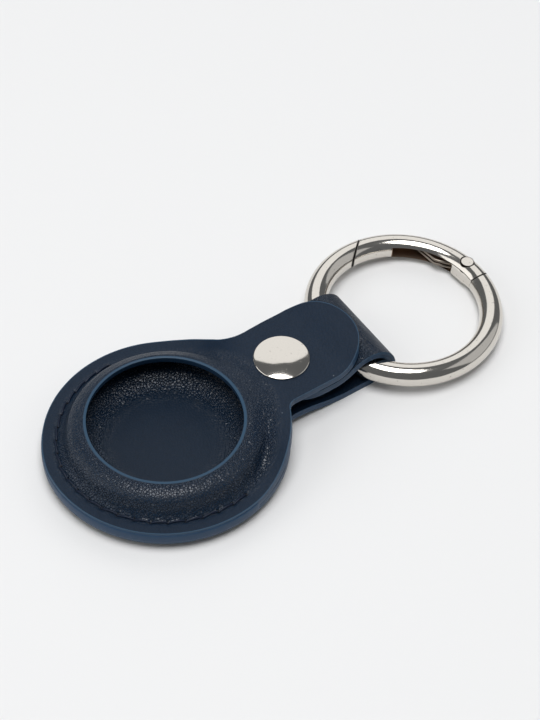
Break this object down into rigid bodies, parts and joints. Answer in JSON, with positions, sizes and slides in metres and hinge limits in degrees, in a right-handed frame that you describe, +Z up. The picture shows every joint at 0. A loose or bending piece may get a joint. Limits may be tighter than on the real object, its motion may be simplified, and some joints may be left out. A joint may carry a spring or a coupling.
{
  "type": "tracker tag holder",
  "caption": "Round moulded leather holder for a coin-shaped tracker tag, with a window, a stitched seam, a snap tab over a strap loop and a spring-gate key ring.",
  "frame": {"origin": "centre of the round body on the surface it lies on, under its back panel", "axes": "+X towards the key ring, +Y to the side of the ring's gate, +Z up through the viewing window"},
  "size_m": [0.0862, 0.0408, 0.0093],
  "materials": {
    "leather": "satin navy, fine grain",
    "lining": "smooth matte navy",
    "thread": "matte dark navy thread",
    "nickel": "polished nickel plate",
    "spring_wire": "plain spring steel"
  },
  "bodies": {
    "holder": {"front_panel": "leather", "front_lining": "lining", "back_panel": "leather", "back_lining": "lining", "top_thread": "thread", "bobbin_thread": "thread"},
    "flap": {"flap_panel": "leather", "flap_lining": "lining", "snap_cap": "nickel", "cap_post": "nickel", "snap_socket": "nickel", "socket_spring": "spring_wire"},
    "tail": {"strap_tail": "leather", "tail_lining": "lining", "snap_stud": "nickel", "stud_post": "nickel"},
    "ring": {"ring_body": "nickel", "gate_pin": "nickel", "gate_spring": "spring_wire"},
    "gate": {"ring_gate": "nickel"}
  },
  "joints": [
    {"name": "flap_lift", "type": "hinge", "parent": "holder", "child": "flap", "pos_m": [0.0046, 0, 0.0076], "axis": [0, -1, 0], "range_deg": [0, 70]},
    {"name": "tail_lift", "type": "hinge", "parent": "holder", "child": "tail", "pos_m": [0.0352, 0, 0.0076], "axis": [0, 1, 0], "range_deg": [0, 35]},
    {"name": "ring_turn", "type": "hinge", "parent": "holder", "child": "ring", "pos_m": [0.0488, 0.0008, 0.0028], "axis": [0.0523, 0, 0.9986], "range_deg": [-135, 25]},
    {"name": "gate_open", "type": "hinge", "parent": "ring", "child": "gate", "pos_m": [0.06367, 0.00258, 0.00202], "axis": [0.0523, 0, 0.9986], "range_deg": [0, 27], "stiffness_Nm_per_rad": 0.02, "springref_deg": -11.46, "deforming": ["gate_spring"]}
  ],
  "couplings": [
    {"joint": "tail_lift", "follows": "flap_lift", "ratio": 0.5}
  ]
}
